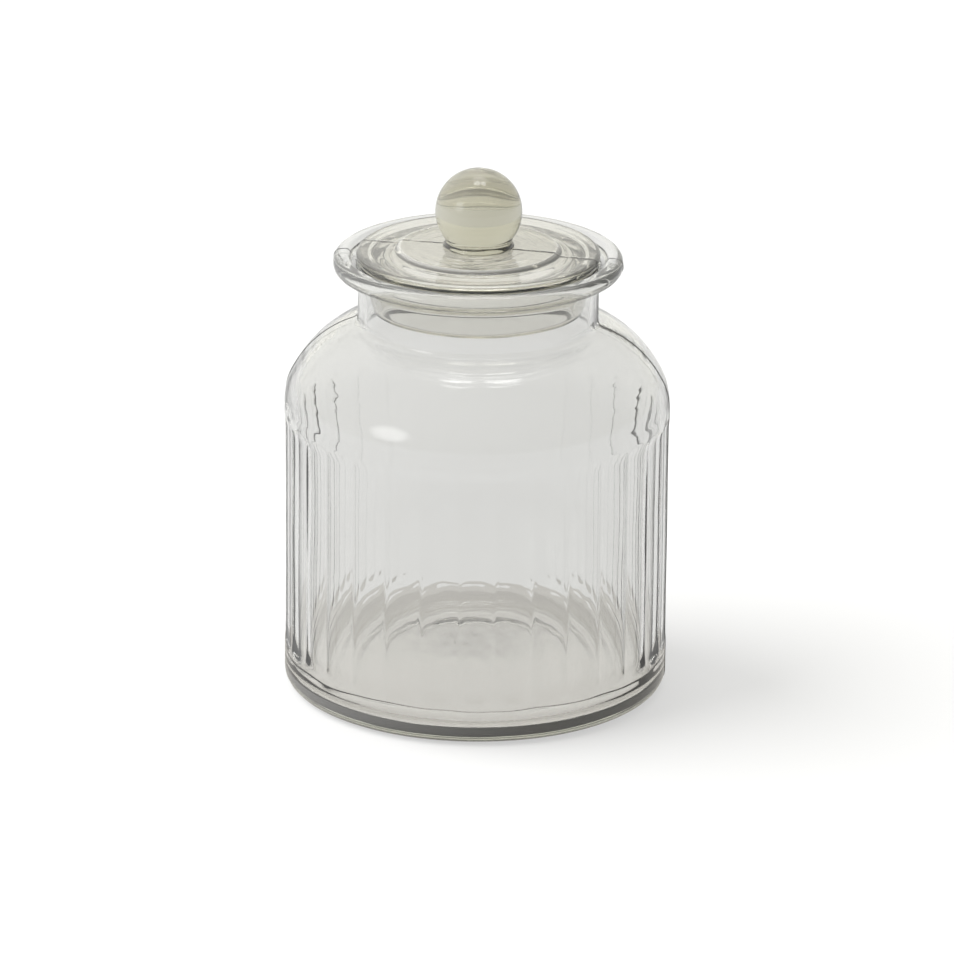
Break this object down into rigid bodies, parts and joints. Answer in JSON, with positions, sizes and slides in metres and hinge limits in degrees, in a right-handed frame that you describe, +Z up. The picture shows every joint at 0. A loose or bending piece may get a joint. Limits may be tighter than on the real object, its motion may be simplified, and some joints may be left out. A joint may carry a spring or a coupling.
{
  "type": "glass storage jar",
  "caption": "Round fluted glass jar with a sloping shoulder, short neck and rolled lip, closed by a glass lid with a hollow plug and a ball knob.",
  "frame": {"origin": "centre of the foot ring, on the plane the jar stands on", "axes": "+Z up along the jar's axis, +X through one of its two mould lines"},
  "size_m": [0.1826, 0.1826, 0.2539],
  "materials": {
    "jar_glass": "clear, faintly grey-green",
    "lid_glass": "clear, faintly olive"
  },
  "bodies": {
    "jar": {"jar_body": "jar_glass"},
    "lid": {"lid": "lid_glass", "lid_knob": "lid_glass"}
  },
  "joints": [
    {"name": "lid_lift", "type": "slide", "parent": "jar", "child": "lid", "axis": [0, 0, 1], "range_m": [0, 0.15]}
  ]
}
